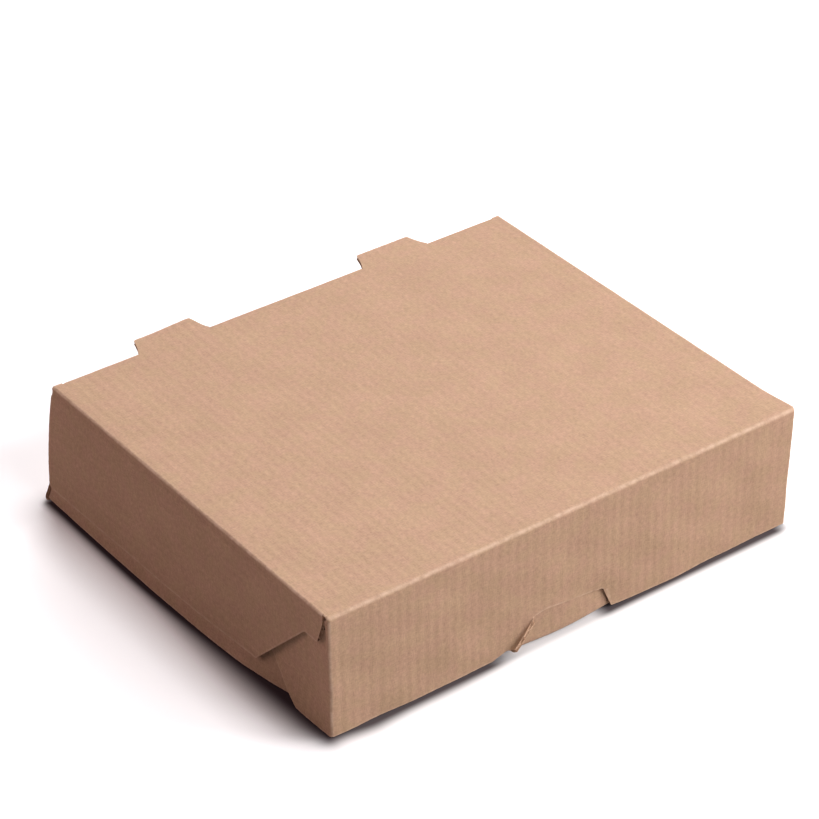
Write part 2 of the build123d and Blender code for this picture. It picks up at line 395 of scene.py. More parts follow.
class NodeGraph:
    """Short way to place and link shader nodes in a material or a node group."""

    def __init__(self, tree: bpy.types.NodeTree) -> None:
        """Keep the tree that the nodes go into."""
        self.tree = tree

    def add(self, kind: str, **settings: object) -> bpy.types.Node:
        """Place a node and set its own settings."""
        node = self.tree.nodes.new("ShaderNode" + kind)
        for key, value in settings.items():
            setattr(node, key, value)
        return node

    def wire(self, source: object, node: bpy.types.Node, socket: int | str) -> None:
        """Feed a socket from another socket, or set it to a plain value."""
        target = node.inputs[socket]
        if isinstance(source, Socket):
            self.tree.links.new(source, target)
        else:
            target.default_value = source

    def math(self, operation: str, a: object, b: object = 0.0) -> Socket:
        """Arithmetic of two sources."""
        node = self.add("Math", operation=operation)
        self.wire(a, node, 0)
        self.wire(b, node, 1)
        return node.outputs[0]

    def plus(self, a: object, b: object) -> Socket:
        """Sum of two sources."""
        return self.math("ADD", a, b)

    def less(self, a: object, b: object) -> Socket:
        """First source less the second."""
        return self.math("SUBTRACT", a, b)

    def times(self, a: object, b: object) -> Socket:
        """Product of two sources."""
        return self.math("MULTIPLY", a, b)

    def most(self, a: object, b: object) -> Socket:
        """Greater of two sources."""
        return self.math("MAXIMUM", a, b)

    def ramp(
        self, value: object, low: float, high: float, start: float = 0.0, end: float = 1.0
    ) -> Socket:
        """Ease a value between two limits to a new range."""
        node = self.add("MapRange", interpolation_type="SMOOTHSTEP")
        for number, part in enumerate((value, low, high, start, end)):
            self.wire(part, node, number)
        return node.outputs[0]

    def blend(self, mode: str, share: object, a: object, b: object) -> Socket:
        """Mix two colours by a share."""
        node = self.add("Mix", data_type="RGBA", blend_type=mode)
        self.wire(share, node, 0)
        self.wire(a, node, 6)
        self.wire(b, node, 7)
        return node.outputs[2]

    def noise(self, place: object, scale: float, detail: float = 3.0, rough: float = 0.55) -> Socket:
        """Cloudy pattern at a place."""
        node = self.add("TexNoise")
        self.wire(place, node, "Vector")
        self.wire(scale, node, "Scale")
        self.wire(detail, node, "Detail")
        self.wire(rough, node, "Roughness")
        return node.outputs[0]

    def stretch(self, place: object, scale: Triple) -> Socket:
        """Scale a place unevenly, so that a pattern on it is drawn out."""
        node = self.add("Mapping")
        self.wire(place, node, "Vector")
        self.wire(scale, node, "Scale")
        return node.outputs[0]

    def parts(self, place: object) -> bpy.types.bpy_prop_collection:
        """The three numbers of a place."""
        node = self.add("SeparateXYZ")
        self.wire(place, node, 0)
        return node.outputs

    def shade(self, colour: object, value: object) -> Socket:
        """A colour times a grey of that value."""
        grey = self.add("CombineColor")
        for socket in range(3):
            self.wire(value, grey, socket)
        return self.blend("MULTIPLY", 1.0, colour, grey.outputs[0])

    def bump(self, height: object, strength: float, depth: float) -> Socket:
        """Bumps of a strength, with the distance in metres that a height of 1 stands for."""
        node = self.add("Bump")
        for label, source in (("Strength", strength), ("Distance", depth), ("Height", height)):
            self.wire(source, node, label)
        return node.outputs[0]

    def surface(self, colour: object, roughness: object, specular: float, normal: Socket) -> None:
        """Lead a colour, roughness, reflection and bump to the output by a Principled surface."""
        shader = self.add("BsdfPrincipled")
        self.wire(colour, shader, "Base Color")
        self.wire(roughness, shader, "Roughness")
        self.wire(specular, shader, "Specular IOR Level")
        self.wire(normal, shader, "Normal")
        self.wire(shader.outputs[0], self.add("OutputMaterial"), 0)


def empty_material(name: str) -> tuple[bpy.types.Material, NodeGraph]:
    """New material without nodes, and the graph that its nodes go into."""
    material = bpy.data.materials.new(name)
    material.use_nodes = True
    material.node_tree.nodes.clear()
    return material, NodeGraph(material.node_tree)


class KraftGroups:
    """Shared effects of kraft board, each a node group that is built once."""

    def __init__(self) -> None:
        """Build the three groups."""
        self.fibres = self._fibres()
        self.flutes = self._flutes()
        self.wear_and_highlight = self._wear_and_highlight()

    @staticmethod
    def _group(
        name: str, inputs: dict[str, float | None], outputs: list[str]
    ) -> tuple[NodeGraph, bpy.types.Node, bpy.types.Node]:
        """Start a group with named sockets.

        Args:
            name: Name of the group.
            inputs: Socket names with their first value, or None for a vector.
            outputs: Names of the values that it puts out.

        Returns:
            The graph, its input node and its output node.
        """
        tree = bpy.data.node_groups.new(name, "ShaderNodeTree")
        for label, value in inputs.items():
            kind = "NodeSocketVector" if value is None else "NodeSocketFloat"
            socket = tree.interface.new_socket(name=label, in_out="INPUT", socket_type=kind)
            if value is not None:
                socket.default_value = value
        for label in outputs:
            tree.interface.new_socket(name=label, in_out="OUTPUT", socket_type="NodeSocketFloat")
        return NodeGraph(tree), tree.nodes.new("NodeGroupInput"), tree.nodes.new("NodeGroupOutput")

    def _fibres(self) -> bpy.types.NodeTree:
        """Pulp of kraft paper: soft clouds, short crossed fibres, and sparse dark flecks."""
        g, given, out = self._group("kraft_fibres", {"Place": None}, ["Cloud", "Fibre", "Fleck", "Height"])
        place = given.outputs[0]
        cloud = g.noise(place, 60.0, 4.0, 0.6)
        mottle = g.noise(place, 520.0, 4.0, 0.7)
        along = g.noise(g.stretch(place, (1.0, 0.28, 1.0)), 2300.0, 2.0, 0.6)
        across = g.noise(g.stretch(place, (0.3, 1.0, 1.0)), 2100.0, 2.0, 0.6)
        fibre = g.plus(g.times(along, 0.5), g.times(across, 0.5))
        g.wire(g.plus(g.times(cloud, 0.45), g.times(mottle, 0.55)), out, "Cloud")
        g.wire(fibre, out, "Fibre")
        spots = g.add("TexVoronoi", feature="F1")
        g.wire(place, spots, "Vector")
        g.wire(240.0, spots, "Scale")
        near = g.ramp(spots.outputs["Distance"], 0.05, 0.13, 1.0, 0.0)
        rare = g.ramp(g.noise(place, 95.0, 1.0), 0.6, 0.72)
        g.wire(g.times(near, rare), out, "Fleck")
        g.wire(g.plus(g.times(fibre, 0.7), g.times(mottle, 0.3)), out, "Height")
        return g.tree

    def _flutes(self) -> bpy.types.NodeTree:
        """Washboard of the flutes under the liner: a line over each flute, uneven along it, and streaks along
        the flutes. Both are painted shade in the colour, and the line also gives bumps.
        """
        g, given, out = self._group("flute_washboard_and_shade", {"Place": None, "Pitch": 0.00339}, ["Line", "ShadeStreak"])
        place = given.outputs[0]
        turns = g.math("DIVIDE", g.parts(place)[0], given.outputs[1])
        wave = g.math("SINE", g.times(turns, 2.0 * math.pi))
        patchy = g.ramp(g.noise(g.stretch(place, (1.0, 0.35, 1.0)), 70.0, 2.0), 0.35, 0.65, 0.25, 1.0)
        g.wire(g.times(wave, patchy), out, "Line")
        g.wire(g.noise(g.stretch(place, (1.0, 0.03, 1.0)), 560.0, 2.0, 0.6), out, "ShadeStreak")
        return g.tree

    def _wear_and_highlight(self) -> bpy.types.NodeTree:
        """Rubbed paper and painted highlight: 1 beside a crease or cut that fades with distance, broken up by
        clouds. Beside a crease it stands for wear and for the highlight where the fold catches the light.
        """
        g, given, out = self._group("edge_wear_and_highlight", {"Place": None, "Gap": 1.0, "Reach": 0.001}, ["WearAndHighlight"])
        near = g.ramp(g.math("DIVIDE", given.outputs[1], given.outputs[2]), 0.0, 1.0, 1.0, 0.0)
        broken = g.ramp(g.noise(given.outputs[0], 260.0, 4.0, 0.7), 0.35, 0.65, 0.3, 1.0)
        g.wire(g.times(near, broken), out, "WearAndHighlight")
        return g.tree


@dataclass(frozen=True)
class KraftFinish:
    """Look of one side of the board.

    Attributes:
        name: Name of the material.
        pale: Colour of the light pulp.
        deep: Colour of the dark pulp.
        worn_and_highlight: Colour where a cut edge is rubbed, and where a crease is rubbed and carries a
            painted highlight.
        washboard_shade: How strongly the painted shade of the flutes' washboard shows.
        roughness: Mean roughness.
        layer: Offset that gives this side its own pattern.
        washboard_streaks: Strength of the uneven streaks of painted shade, as a multiple of the flutes'
            painted shade.
        flecks: Strength of the dark flecks.
        fleck: Colour of a dark fleck.
        cool: Tint of some patches.
        warm: Tint of the patches between.
        rubbed_and_highlit: Point attribute, reach and strength of the wear and painted highlight beside a
            crease, and of the wear beside a cut edge.
    """

    name: str
    pale: Triple
    deep: Triple
    worn_and_highlight: Triple
    washboard_shade: float
    roughness: float
    layer: float
    washboard_streaks: float = 4.5
    flecks: float = 0.3
    fleck: Triple = (0.12, 0.07, 0.045)
    cool: Triple = (0.99, 1.012, 0.975)
    warm: Triple = (1.012, 0.985, 1.01)
    rubbed_and_highlit: tuple[tuple[str, float, float], ...] = (("fold_gap", 0.0011, 0.75), ("cut_gap", 0.0008, 0.55))

    def material(self, groups: KraftGroups) -> bpy.types.Material:
        """Build the material from the shared groups.

        Args:
            groups: The shared kraft effects.

        Returns:
            The finished material.
        """
        material, g = empty_material(self.name)
        shift = g.add("Mapping")
        g.wire(g.add("UVMap", uv_map="blank").outputs[0], shift, "Vector")
        g.wire((0.0, 0.0, self.layer), shift, "Location")
        place = shift.outputs[0]
        fibres = g.add("Group", node_tree=groups.fibres)
        flutes = g.add("Group", node_tree=groups.flutes)
        for node in (fibres, flutes):
            g.wire(place, node, 0)
        cloud, fibre, line = fibres.outputs["Cloud"], fibres.outputs["Fibre"], flutes.outputs["Line"]
        colour = g.blend("MIX", g.ramp(cloud, 0.34, 0.66), (*self.deep, 1.0), (*self.pale, 1.0))
        colour = g.shade(colour, g.ramp(fibre, 0.3, 0.7, 0.84, 1.13))
        # Painted shade of the flutes' washboard: darker and lighter lines across the flutes, and streaks
        # along them.
        shade_streak = g.less(flutes.outputs["ShadeStreak"], 0.5)
        shade_streak = g.times(shade_streak, self.washboard_streaks * self.washboard_shade)
        washboard_shade = g.plus(g.times(line, self.washboard_shade), shade_streak)
        colour = g.shade(colour, g.plus(g.times(washboard_shade, self._walls(g, place)), 1.0))
        patch = g.ramp(g.noise(place, 150.0, 2.0), 0.35, 0.65)
        tint = g.blend("MIX", patch, (*self.cool, 1.0), (*self.warm, 1.0))
        colour = g.blend("MULTIPLY", 1.0, colour, tint)
        # Beside a crease the paler colour is crease wear and a painted highlight where the fold catches the
        # light; beside a cut edge it is wear.
        for label, reach, strength in self.rubbed_and_highlit:
            wear_and_highlight = g.add("Group", node_tree=groups.wear_and_highlight)
            gap = g.add("Attribute", attribute_name=label).outputs["Fac"]
            for socket, source in enumerate((place, gap, reach)):
                g.wire(source, wear_and_highlight, socket)
            colour = g.blend("MIX", g.times(wear_and_highlight.outputs[0], strength), colour, (*self.worn_and_highlight, 1.0))
        share = g.times(fibres.outputs["Fleck"], self.flecks)
        colour = g.blend("MIX", share, colour, (*self.fleck, 1.0))
        height = g.plus(fibres.outputs["Height"], g.times(line, 0.12))
        roughness = g.ramp(fibre, 0.2, 0.8, self.roughness - 0.07, self.roughness + 0.07)
        g.surface(colour, roughness, 0.22, g.bump(height, 0.35, 0.25 * MM))
        return material

    @staticmethod
    def _walls(g: NodeGraph, place: Socket) -> Socket:
        """How much the painted shade of the flutes shows: little on the lid, where the light is steep, fully
        on the flaps.
        """
        across, along = g.parts(place)[:2]
        side = g.ramp(g.math("ABSOLUTE", across), 0.0885, 0.0905)
        front = g.ramp(along, -0.0745, -0.0765)
        return g.ramp(g.most(side, front), 0.0, 1.0, 0.22, 1.0)


@dataclass(frozen=True)
class CutFinish:
    """Look of the board's cut edge: torn pale fibres on the paper, and painted shade, near black, in the
    flutes' hollows.
    """

    name: str = "cut_edge"
    paper: Triple = (0.55, 0.37, 0.26)
    shade: Triple = (0.38, 0.225, 0.14)
    # Near-black painted shade of a flute's hollow.
    hollow: Triple = (0.035, 0.014, 0.009)

    def material(self, groups: KraftGroups) -> bpy.types.Material:
        """Build the material from the shared groups.

        Args:
            groups: The shared kraft effects.

        Returns:
            The finished material.
        """
        material, g = empty_material(self.name)
        fibres = g.add("Group", node_tree=groups.fibres)
        g.wire(g.add("TexCoord").outputs["Object"], fibres, 0)
        fibre = fibres.outputs["Fibre"]
        hollow_shade_mask = g.add("Attribute", attribute_name="hollow_shade_mask").outputs["Fac"]
        colour = g.blend("MIX", g.ramp(fibre, 0.3, 0.7), (*self.shade, 1.0), (*self.paper, 1.0))
        # Painted shade: the flutes' hollows in the cut edge are painted near black.
        colour = g.blend("MIX", g.ramp(hollow_shade_mask, 0.4, 1.0), colour, (*self.hollow, 1.0))
        roughness = g.ramp(fibre, 0.2, 0.8, 0.82, 0.95)
        g.surface(colour, roughness, 0.15, g.bump(fibres.outputs["Height"], 0.6, 0.3 * MM))
        return material


@dataclass
class KraftBoard:
    """The board and its three finishes, which every panel is made of."""

    board: Board
    materials: list[bpy.types.Material]

    @classmethod
    def make(cls) -> "KraftBoard":
        """Build the shared groups and the finishes."""
        groups = KraftGroups()
        outside = KraftFinish(
            "kraft_outside", (0.413, 0.261, 0.174), (0.365, 0.229, 0.151), (0.56, 0.39, 0.29), 0.02, 0.82, 0.0
        )
        inside = KraftFinish(
            "kraft_inside", (0.395, 0.248, 0.162), (0.340, 0.207, 0.130), (0.47, 0.31, 0.22), 0.04, 0.86, 0.05
        )
        return cls(Board(), [finish.material(groups) for finish in (outside, inside, CutFinish())])

    def panel(self, name: str, sheet: Sheet, inside: Triple) -> Piece:
        """Make a panel from its outer face and give it its finishes."""
        piece = self.board.make(name, sheet, inside)
        for material in self.materials:
            piece.data.materials.append(material)
        return piece


class Track:
    """Plan or section of a panel: a path through points with its corners rounded by arcs."""

    def __init__(self, points: list[tuple[float, float]], radius: float) -> None:
        """Lay the path.

        Each arc leaves its two runs at the radius times the tangent of half the turn, and its
        points are the corner's tangent points carried round the arc's centre.

        Args:
            points: Corners of the path.
            radius: Radius at each corner between the first and the last point.
        """
        corners = np.array(points)
        path = [corners[:1]]
        for corner, before, after in zip(corners[1:-1], corners[:-2], corners[2:]):
            back, ahead = unit(before - corner), unit(after - corner)
            half = math.acos(float(np.clip(back @ ahead, -1.0, 1.0))) / 2.0
            centre = corner + unit(back + ahead) * radius / math.sin(half)
            spoke = corner + back * radius / math.tan(half) - centre
            turn = np.linspace(0.0, math.pi - 2.0 * half, 13)
            side = np.sign(back[0] * ahead[1] - back[1] * ahead[0])
            cos, sin = np.cos(turn), -side * np.sin(turn)
            arc = np.stack([spoke[0] * cos - spoke[1] * sin, spoke[0] * sin + spoke[1] * cos], axis=-1)
            path.append(centre + arc)
        self.points = np.concatenate(path + [corners[-1:]])
        lengths = np.linalg.norm(np.diff(self.points, axis=0), axis=1)
        self.run = np.concatenate([[0.0], np.cumsum(lengths)])
        self.length = float(self.run[-1])

    def at(self, run: Array) -> tuple[Array, Array]:
        """First and second coordinate of the path at distances along it."""
        return np.interp(run, self.run, self.points[:, 0]), np.interp(run, self.run, self.points[:, 1])


@dataclass
class Lid:
    """Top panel with its two hinge tabs and its two front corners.

    A tab's root and tip are half its width there, and its hollow is a share of its reach. Its
    fall is how much shorter it is at its tip's corners, over its ease. Its lift is how far the
    left tab's inner half stands up at its tip.
    """

    plan: BoxPlan
    stock: KraftBoard
    tab_root: float = 13.6 * MM
    tab_tip: float = 10.7 * MM
    tab_hollow: float = 0.12
    tab_centre: float = 44.7 * MM
    tab_ease: float = 0.8 * MM
    tab_fall: float = 0.25 * MM
    tab_lift: float = 0.7 * MM
    swell: float = 0.12 * MM

    def back_edge(self, x: Array) -> Array:
        """Back limit of the panel at each x: the fold, or a tab's tip or slanted side.

        Along a tab's side the limit runs from its root to its tip in proportion to x, less a
        hollow that is greatest half way, and the tip falls back a little at its corners.
        """
        plan = self.plan
        off = np.abs(np.abs(x) - self.tab_centre)
        run = np.clip((self.tab_root - off) / (self.tab_root - self.tab_tip), 0.0, 1.0)
        run = run - self.tab_hollow * np.sin(math.pi * run) * (run < 1.0)
        tip = plan.tab_end - self.tab_fall * rise(off, self.tab_tip - self.tab_ease, self.tab_ease)
        tab = plan.back + (tip - plan.back) * run
        edge = np.where(off < self.tab_root, tab, plan.back - plan.hinge_fold)
        corner = np.abs(x) > plan.tray_half + 0.2 * MM
        return np.where(corner, plan.back - 0.1 * MM, edge)

    def sheet(self) -> Sheet:
        """Outer face on x and on a share of the way from the front fold to the back limit."""
        plan = self.plan
        side, tiny = plan.half_width - plan.side_fold, 0.03 * MM
        stops = [0.0]
        for way in (-self.tab_root, -self.tab_tip, self.tab_tip, self.tab_root):
            stops += [self.tab_centre + way - tiny, self.tab_centre + way + tiny]
        stops += [plan.tray_half + 0.17 * MM, plan.tray_half + 0.23 * MM, side]
        x = mirrored(stops, self.stock.board.pitch / 10.0)
        share = steps([0.0, 0.03, 0.93, 1.0], [0.006, 0.04, 0.008])
        front = plan.front + plan.fold
        y = front + share[:, None] * (self.back_edge(x) - front)[None]
        x = np.broadcast_to(x, y.shape)
        fold_gap = np.minimum(y - plan.front, plan.half_width - np.abs(x))
        off = np.abs(np.abs(x) - self.tab_centre)
        tab = off < self.tab_root
        fold_gap = np.where(tab, fold_gap, np.minimum(fold_gap, np.abs(plan.back - y)))
        free = rise(fold_gap, plan.fold, 8.0 * MM) * smooth((plan.back - y) / (10.0 * MM))
        z = plan.height + self.swell * free * ripple(x, y, 0.11, 0.7)
        inner_half = (x < 0.0) * rise(x, -52.0 * MM, 20.0 * MM) * tab
        z = z + self.tab_lift * rise(y, plan.back, 7.0 * MM) * inner_half
        raw = np.zeros(y.shape)
        raw[-1] = np.where(tab[-1], 1.0, 0.0)
        past = y > plan.back - 0.5 * MM
        reach = plan.tab_end - plan.back
        side_gap = self.tab_root - (y - plan.back) * (self.tab_root - self.tab_tip) / reach - off
        cut_gap = np.where(tab & past, np.minimum(plan.tab_end - y, side_gap), FAR)
        outer = plan.settle(np.stack([x, y, z], -1))
        return Sheet(outer, np.stack([x, y], -1), raw, np.maximum(cut_gap, 0.0), fold_gap)

    def corner_sheet(self, side: int) -> Sheet:
        """Bit of the lid beside the end of a side fold, rounded down towards the front corner."""
        plan = self.plan
        x, y = np.meshgrid(
            side * np.linspace(plan.half_width - plan.side_fold, plan.corner, 8),
            np.linspace(plan.front + plan.fold, plan.flap_front - 0.25 * MM, 6),
        )
        outer = plan.settle(np.stack([x, y, plan.height - plan.corner_drop(x)], -1))
        zero = np.zeros(x.shape)
        fold_gap = np.abs(x) - plan.half_width + plan.side_fold
        return Sheet(outer, np.stack([x, y], -1), zero, zero + FAR, fold_gap)

    def build(self) -> list[Piece]:
        """Make the panel and its corners, let them ride, and let them stand for the lid's solid."""
        pieces = [self.stock.panel("lid_panel", self.sheet(), (0.0, 0.0, 0.0))]
        for side, word in ((-1, "left"), (1, "right")):
            pieces.append(self.stock.panel(f"lid_corner_{word}", self.corner_sheet(side), (0.0, 0.0, 0.0)))
        for piece in pieces:
            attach(piece, "lid")
            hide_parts("lid")
        return pieces


@dataclass
class TopFold:
    """A rounded fold between the lid and the panel that hangs from it.

    Attributes:
        plan: Sizes of the box.
        stock: The board.
        name: Name of the piece.
        start: Where along the fold it begins.
        end: Where along the fold it ends.
        turn: Angle about the upright axis that brings the front fold to this one.
        reach: Distance from the box's middle to the outer face at this fold.
        radius: Radius of the outer face.
        bodies: The two bodies on either side of it.
        waver: Most by which the radius falls short.
    """

    plan: BoxPlan
    stock: KraftBoard
    name: str
    start: float
    end: float
    turn: float
    reach: float
    radius: float
    bodies: tuple[str, str]
    waver: float = 0.10 * MM

    def place(self, along: Array, out: Array, up: Array) -> Array:
        """Turn points given along, out from and up the fold into the box's frame."""
        cos, sin = math.cos(self.turn), math.sin(self.turn)
        x, y = along, -out
        return np.stack([x * cos - y * sin, x * sin + y * cos, up], axis=-1)

    def sheet(self) -> Sheet:
        """Outer face on the distance along the fold and the angle round it.

        A point is the fold's centre plus its radius at an angle from straight up to straight
        out. The radius wavers along the fold by a slow swell, most at the middle of the turn.
        At the box's front corners the upper part falls and the lower part retreats, as the
        panels that it joins do there.
        """
        plan = self.plan
        ends = [self.start, self.start + 2.0 * MM, self.end - 2.0 * MM, self.end]
        along = steps(ends, [self.stock.board.pitch / s for s in (20.0, 6.0, 20.0)])
        angle = np.linspace(0.0, math.pi / 2.0, 13)[:, None]
        along = np.broadcast_to(along, (13, along.size))
        soft = self.waver * np.sin(2.0 * angle) ** 2 * (0.4 + 0.6 * ripple(along, along, 0.06, self.turn))
        radius = self.radius - np.abs(soft)
        front = 1.0 if self.turn == 0.0 else 0.0
        out = self.reach - self.radius + (radius - front * plan.corner_retreat(along)) * np.sin(angle)
        up = plan.height - self.radius + (radius - front * plan.corner_drop(along)) * np.cos(angle)
        arc = self.radius * (angle - math.pi / 4.0) + 0.0 * along
        outer = self.place(along, out, up)
        if self.bodies[0] == "lid":
            outer = plan.settle(outer)
        flat = self.place(along, self.reach + arc, up)[..., :2]
        raw = np.zeros(arc.shape)
        # The distance from the arc's middle places the painted highlight and wear along the fold's crest.
        return Sheet(outer, flat, raw, raw + FAR, np.abs(arc))

    def build(self) -> Piece:
        """Make the fold and put its place into its mesh."""
        middle = self.place(np.array(0.0), np.array(self.reach - 0.02), np.array(0.02))
        piece = self.stock.panel(self.name, self.sheet(), tuple(middle))
        if self.bodies[0] == "lid":
            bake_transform(piece)
        else:
            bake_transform(piece)
        return piece


@dataclass
class FrontFlap:
    """Front flap with its thumb notch, curled corner and two ears folded round the corners."""

    plan: BoxPlan
    stock: KraftBoard
    foot_gap: float = 0.3 * MM
    bow: float = 0.3 * MM
    right_bow: float = 0.9 * MM
    ear_tuck: float = 1.4 * MM
    ear_foot: float = 17.5 * MM
    ear_shoulder: float = 14.0 * MM
    ear_top: float = 37.5 * MM
    ear_flare: float = 1.9 * MM
    ear_end: float = 7.0 * MM
    ear_end_drop: float = 6.0 * MM
    swell: float = 0.35 * MM
    notch_half: float = 17.0 * MM
    curl_foot: tuple[float, float] = (-24.5 * MM, 2.4 * MM)
    curl_head: tuple[float, float] = (-14.8 * MM, 10.7 * MM)
    curl_radius: float = 0.5 * MM
    curl_turn: float = math.radians(98.0)

    def path(self) -> Track:
        """Plan of the flap's outer face, from the left ear's end to the right ear's end."""
        plan = self.plan
        half = [(plan.corner, plan.ear_end), (plan.corner, plan.front)]
        points = [(-x, y) for x, y in half] + half[::-1]
        return Track(points, plan.corner_radius)

    def notch(self, x: Array) -> Array:
        """Height of the thumb notch: a trapezoid, higher on the left, between bent-up edges."""
        ends = np.array([-30.0, -24.5, -21.8, -18.2, -14.3, -13.4, -9.4, 12.7, 13.3, 16.6, 19.9, 28.0]) * MM
        heights = np.array([0.0, 1.9, 1.2, 4.8, 9.8, 10.2, 10.9, 8.6, 8.2, 0.5, 0.3, 0.0]) * MM
        return np.interp(x, ends, heights)

    def bulge(self, x: Array) -> Array:
        """Way forwards of the lower edge: two bell curves, a faint wide one left and one right."""
        left = self.bow * bell(x, -46.0 * MM, 50.0 * MM)
        right = self.right_bow * bell(x, 32.0 * MM, 25.0 * MM)
        return (left + right) * smooth((self.plan.corner - np.abs(x)) / (9.0 * MM))

    def curl(self, x: Array, z: Array) -> tuple[Array, Array, Array]:
        """Bend the corner left of the notch outwards about a slanted crease.

        A point's distance past the crease is wound onto an arc of the curl's radius, and past
        the full turn it goes on straight. The bend fades out at the crease's head.

        Args:
            x: Place across the flap.
            z: Height on the flap.

        Returns:
            The change of x, the way outwards, and the change of z.
        """
        foot, head = np.array(self.curl_foot), np.array(self.curl_head)
        crease = unit(head - foot)
        away = np.array([crease[1], -crease[0]])
        past = (x - foot[0]) * away[0] + (z - foot[1]) * away[1]
        along = (x - foot[0]) * crease[0] + (z - foot[1]) * crease[1]
        length = float(np.linalg.norm(head - foot))
        past = np.maximum(past, 0.0) * (1.0 - rise(along, length - 0.5 * MM, 1.2 * MM))
        angle = np.minimum(past / self.curl_radius, self.curl_turn)
        rest = np.maximum(past - self.curl_radius * angle, 0.0)
        run = self.curl_radius * np.sin(angle) + rest * np.cos(angle)
        out = self.curl_radius * (1.0 - np.cos(angle)) + rest * np.sin(angle)
        return (run - past) * away[0], out, (run - past) * away[1]

    def limits(self, x: Array, y: Array) -> tuple[Array, Array]:
        """Lower and upper limit of the flap at each place along its path.

        The front reaches from the notched lower edge to the top fold. An ear's foot rises
        along a slope to its shoulder, and its top is low and falls off at its end.

        Args:
            x: Plan place across the box.
            y: Plan place along the box's depth.

        Returns:
            Lower and upper heights.
        """
        plan = self.plan
        behind = y - plan.front
        slope = (behind - self.ear_foot) / (plan.ear_end - plan.front - self.ear_foot)
        low = self.foot_gap + self.ear_shoulder * np.clip(slope, 0.0, 1.0) ** 1.1
        low = np.where(behind > plan.corner_radius, low, self.foot_gap + self.notch(x))
        ear = behind > plan.corner_radius * 0.99
        end_cut = rise(y, plan.ear_end - self.ear_end, self.ear_end) * self.ear_end_drop
        stub = (plan.fold_top - 0.1 * MM - self.ear_top) * (1.0 - rise(behind, 2.2 * MM, 0.8 * MM))
        return low, np.where(ear, self.ear_top + stub - end_cut, plan.fold_top)

    def tuck(self, behind: Array, z: Array) -> Array:
        """Way inwards of an ear behind the corner: soon beside the side flap's end, slowly below."""
        reach = 12.0 * MM - 8.6 * MM * rise(z, 27.0 * MM, 6.0 * MM)
        shallow = 1.0 - 0.7 * rise(z, self.ear_top, 5.0 * MM)
        return self.ear_tuck * shallow * rise(behind, 0.6 * MM, reach)

    def sheet(self) -> Sheet:
        """Outer face on the distance along the plan path and a share of the height."""
        plan = self.plan
        path = self.path()
        pitch, total, tiny = self.stock.board.pitch, path.length, 0.03 * MM
        bend = plan.ear_end - plan.front - plan.corner_radius
        middle = total / 2.0
        stops = [0.0, bend - tiny, bend + tiny, bend + 2.0 * MM, middle + self.curl_foot[0] - 1.0 * MM]
        stops += [middle - 13.0 * MM, middle + 12.0 * MM, middle + self.notch_half, total - bend - 2.0 * MM]
        stops += [total - bend - tiny, total - bend + tiny, total]
        parts = [8.0, 8.0, 24.0, 10.0, 26.0, 10.0, 20.0, 10.0, 24.0, 8.0, 8.0]
        along = steps(stops, [pitch / part for part in parts])
        x0, y0 = path.at(along)
        low, high = self.limits(x0, y0)
        share = steps([0.0, 0.24, 0.9, 1.0], [0.01, 0.035, 0.02])[:, None]
        z0 = low[None] + share * (high - low)[None]
        x0, y0 = np.broadcast_to(x0, z0.shape), np.broadcast_to(y0, z0.shape)
        u = np.broadcast_to(along - total / 2.0, z0.shape)
        behind = y0 - plan.front
        on_front = behind < plan.corner_radius
        bow = self.bulge(x0) * (1.0 - z0 / plan.fold_top) ** 1.4
        ease = 1.0 - smooth(behind / plan.corner_radius)
        dx, out, dz = self.curl(x0, z0)
        flare = self.ear_flare * rise(behind, 0.0, 13.0 * MM) * (1.0 - rise(z0, 0.0, 15.0 * MM))
        hanging = smooth((plan.fold_top - z0) / (12.0 * MM))
        lift = self.swell * ripple(u, z0, 0.05, 1.9) * hanging * ease
        x = x0 + dx * on_front + np.sign(x0) * (flare - self.tuck(behind, z0))
        y = y0 - (bow + out + lift) * ease
        z = np.maximum(z0 + dz * on_front, 0.2 * MM)
        raw = np.zeros(z0.shape)
        raw[0] = np.where(np.abs(x0[0] + 17.0 * MM) < 6.0 * MM, 0.3, 1.0)
        raw[-1] = np.where(behind[-1] < plan.corner_radius + 0.6 * MM, 0.0, 1.0)
        raw[:, 0] = raw[:, -1] = 1.0
        fold_gap = np.where(on_front, plan.height - z0, FAR)
        # Distance to the upright corner folds, where the painted highlight and wear of a crease also go.
        corner = np.abs(np.abs(u) - (plan.corner - 0.43 * plan.corner_radius))
        cut_gap = np.minimum(z0 - low[None], np.where(on_front, FAR, high[None] - z0))
        notch_side = np.where(np.abs(x0) < 40.0 * MM, np.abs(np.abs(x0) - self.notch_half + 0.3 * z0), FAR)
        cut_gap = np.where(on_front & (z0 < 8.0 * MM), np.minimum(cut_gap, notch_side), cut_gap)
        flat = np.stack([u, plan.front - (plan.height - z0)], -1)
        outer = plan.settle(np.stack([x, y, z], -1))
        return Sheet(outer, flat, raw, np.maximum(cut_gap, 0.0), np.minimum(fold_gap, corner * 1.4))

    def build(self) -> Piece:
        """Make the flap, let it ride, and let it stand for the flap's solid."""
        piece = self.stock.panel("front_flap_panel", self.sheet(), (0.0, 0.0, 0.02))
        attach(piece, "front_flap")
        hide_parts("front_flap")
        return piece


